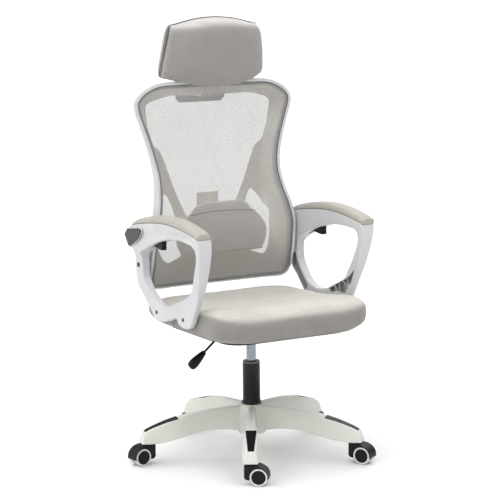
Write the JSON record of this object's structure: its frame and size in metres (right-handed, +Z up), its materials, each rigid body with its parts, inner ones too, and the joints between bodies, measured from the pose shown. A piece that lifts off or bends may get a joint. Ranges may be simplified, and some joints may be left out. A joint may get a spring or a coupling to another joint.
{
  "type": "office chair",
  "caption": "High-back swivel chair with a see-through mesh back, cushioned seat and headrest, closed-loop padded arms, and a star base on twin-wheel casters.",
  "frame": {"origin": "middle of the chair's footprint, on the floor", "axes": "+Z up; the sitter faces -Y, so the front of the seat points to -Y and the sitter's right hand is at -X"},
  "size_m": [0.697, 0.6824, 1.25],
  "materials": {
    "white_plastic": "satin",
    "base_nylon": "satin",
    "black_plastic": "satin",
    "smoked_plastic": "gloss",
    "wheel_tread": "satin",
    "chromed_steel": "polished",
    "black_steel": "satin",
    "black_board": "painted matte",
    "bolt_steel": "satin",
    "seat_fabric": "woven",
    "back_mesh_fabric": "open knit",
    "arm_pad_skin": "soft touch"
  },
  "bodies": {
    "base": {"base_star": "base_nylon", "lift_column": "black_steel", "lift_guide_bush": "wheel_tread", "leg_insert_1": "black_plastic", "leg_insert_2": "black_plastic", "leg_insert_3": "black_plastic", "leg_insert_4": "black_plastic", "leg_insert_5": "black_plastic"},
    "caster_1": {"caster_fork_1": "black_plastic", "caster_axle_1": "bolt_steel"},
    "wheel_1a": {"caster_wheel_1a": "wheel_tread"},
    "wheel_1b": {"caster_wheel_1b": "wheel_tread"},
    "caster_2": {"caster_fork_2": "black_plastic", "caster_axle_2": "bolt_steel"},
    "wheel_2a": {"caster_wheel_2a": "wheel_tread"},
    "wheel_2b": {"caster_wheel_2b": "wheel_tread"},
    "caster_3": {"caster_fork_3": "black_plastic", "caster_axle_3": "bolt_steel"},
    "wheel_3a": {"caster_wheel_3a": "wheel_tread"},
    "wheel_3b": {"caster_wheel_3b": "wheel_tread"},
    "caster_4": {"caster_fork_4": "black_plastic", "caster_axle_4": "bolt_steel"},
    "wheel_4a": {"caster_wheel_4a": "wheel_tread"},
    "wheel_4b": {"caster_wheel_4b": "wheel_tread"},
    "caster_5": {"caster_fork_5": "black_plastic", "caster_axle_5": "bolt_steel"},
    "wheel_5a": {"caster_wheel_5a": "wheel_tread"},
    "wheel_5b": {"caster_wheel_5b": "wheel_tread"},
    "lift_rod_set": {"lift_rod": "bolt_steel", "lift_rod_clip": "black_steel"},
    "seat": {"lift_cylinder": "chromed_steel", "seat_mechanism": "black_steel", "seat_board": "black_board", "seat_cushion": "seat_fabric", "arm_shell_left": "white_plastic", "arm_pad_left": "arm_pad_skin", "arm_corner_cap_left": "smoked_plastic", "back_pivot_bolt_left": "bolt_steel", "arm_bolt_left_1": "bolt_steel", "arm_bolt_left_2": "bolt_steel", "arm_shell_right": "white_plastic", "arm_pad_right": "arm_pad_skin", "arm_corner_cap_right": "smoked_plastic", "back_pivot_bolt_right": "bolt_steel", "arm_bolt_right_1": "bolt_steel", "arm_bolt_right_2": "bolt_steel"},
    "release_pin": {"lift_release_pin": "bolt_steel"},
    "height_lever": {"height_lever_rod": "black_steel", "height_lever_grip": "black_plastic"},
    "recline_lever_left": {"recline_lever_left": "black_plastic"},
    "recline_lever_right": {"recline_lever_right": "black_plastic"},
    "back": {"back_frame": "white_plastic", "back_mesh": "back_mesh_fabric"},
    "lumbar": {"lumbar_pad": "white_plastic"},
    "headrest_carrier": {"headrest_bracket": "white_plastic"},
    "headrest": {"headrest_shell": "white_plastic", "headrest_cushion": "seat_fabric"}
  },
  "joints": [
    {"name": "caster_swivel_1", "type": "hinge", "parent": "base", "child": "caster_1", "pos_m": [-0.15174, -0.29307, 0.06], "axis": [0, 0, 1], "continuous": true},
    {"name": "wheel_spin_1a", "type": "hinge", "parent": "caster_1", "child": "wheel_1a", "pos_m": [-0.13386, -0.30755, 0.025], "axis": [0.6293, 0.7771, 0], "continuous": true},
    {"name": "wheel_spin_1b", "type": "hinge", "parent": "caster_1", "child": "wheel_1b", "pos_m": [-0.13386, -0.30755, 0.025], "axis": [0.6293, 0.7771, 0], "continuous": true},
    {"name": "caster_swivel_2", "type": "hinge", "parent": "base", "child": "caster_2", "pos_m": [0.21476, -0.26037, 0.06], "axis": [0, 0, 1], "continuous": true},
    {"name": "wheel_spin_2a", "type": "hinge", "parent": "caster_2", "child": "wheel_2a", "pos_m": [0.22626, -0.28028, 0.025], "axis": [0.866, 0.5, 0], "continuous": true},
    {"name": "wheel_spin_2b", "type": "hinge", "parent": "caster_2", "child": "wheel_2b", "pos_m": [0.22626, -0.28028, 0.025], "axis": [0.866, 0.5, 0], "continuous": true},
    {"name": "caster_swivel_3", "type": "hinge", "parent": "base", "child": "caster_3", "pos_m": [0.2969, 0.0983, 0.06], "axis": [0, 0, 1], "continuous": true},
    {"name": "wheel_spin_3a", "type": "hinge", "parent": "caster_3", "child": "wheel_3a", "pos_m": [0.31381, 0.1139, 0.025], "axis": [-0.6782, 0.7349, 0], "continuous": true},
    {"name": "wheel_spin_3b", "type": "hinge", "parent": "caster_3", "child": "wheel_3b", "pos_m": [0.31381, 0.1139, 0.025], "axis": [-0.6782, 0.7349, 0], "continuous": true},
    {"name": "caster_swivel_4", "type": "hinge", "parent": "base", "child": "caster_4", "pos_m": [-0.01882, 0.28726, 0.06], "axis": [0, 0, 1], "continuous": true},
    {"name": "wheel_spin_4a", "type": "hinge", "parent": "caster_4", "child": "wheel_4a", "pos_m": [-0.01353, 0.30964, 0.025], "axis": [-0.9732, 0.23, 0], "continuous": true},
    {"name": "wheel_spin_4b", "type": "hinge", "parent": "caster_4", "child": "wheel_4b", "pos_m": [-0.01353, 0.30964, 0.025], "axis": [-0.9732, 0.23, 0], "continuous": true},
    {"name": "caster_swivel_5", "type": "hinge", "parent": "base", "child": "caster_5", "pos_m": [-0.2961, 0.04538, 0.06], "axis": [0, 0, 1], "continuous": true},
    {"name": "wheel_spin_5a", "type": "hinge", "parent": "caster_5", "child": "wheel_5a", "pos_m": [-0.31894, 0.04269, 0.025], "axis": [0.1167, -0.9932, 0], "continuous": true},
    {"name": "wheel_spin_5b", "type": "hinge", "parent": "caster_5", "child": "wheel_5b", "pos_m": [-0.31894, 0.04269, 0.025], "axis": [0.1167, -0.9932, 0], "continuous": true},
    {"name": "seat_swivel", "type": "hinge", "parent": "base", "child": "lift_rod_set", "pos_m": [0.009, -0.0245, 0.2], "axis": [0, 0, 1], "continuous": true},
    {"name": "seat_height", "type": "slide", "parent": "lift_rod_set", "child": "seat", "axis": [0, 0, 1], "range_m": [-0.055, 0.04]},
    {"name": "height_lever_lift", "type": "hinge", "parent": "seat", "child": "height_lever", "pos_m": [-0.036, -0.0245, 0.366], "axis": [0, 1, 0], "range_deg": [0, 8], "stiffness_Nm_per_rad": 2, "springref_deg": -8.59},
    {"name": "release_pin_press", "type": "slide", "parent": "seat", "child": "release_pin", "axis": [0, 0, -1], "range_m": [0, 0.0066]},
    {"name": "recline_lever_lift_left", "type": "hinge", "parent": "seat", "child": "recline_lever_left", "pos_m": [0.2725, 0.0728, 0.6305], "axis": [-1, 0, 0], "range_deg": [0, 10], "stiffness_Nm_per_rad": 1, "springref_deg": -8.59},
    {"name": "recline_lever_lift_right", "type": "hinge", "parent": "seat", "child": "recline_lever_right", "pos_m": [-0.2545, 0.0728, 0.6305], "axis": [-1, 0, 0], "range_deg": [0, 10], "stiffness_Nm_per_rad": 1, "springref_deg": -8.59},
    {"name": "back_recline", "type": "hinge", "parent": "seat", "child": "back", "pos_m": [0.009, 0.1405, 0.556], "axis": [-1, 0, 0], "range_deg": [0, 25]},
    {"name": "lumbar_height", "type": "slide", "parent": "back", "child": "lumbar", "axis": [0, 0, 1], "range_m": [-0.012, 0.015]},
    {"name": "headrest_height", "type": "slide", "parent": "back", "child": "headrest_carrier", "axis": [0, 0, 1], "range_m": [0, 0.045]},
    {"name": "headrest_tilt", "type": "hinge", "parent": "headrest_carrier", "child": "headrest", "pos_m": [0.009, 0.221, 1.13], "axis": [-1, 0, 0], "range_deg": [0, 25]}
  ],
  "couplings": [
    {"joint": "release_pin_press", "follows": "height_lever_lift", "m_per_rad": 0.045}
  ]
}
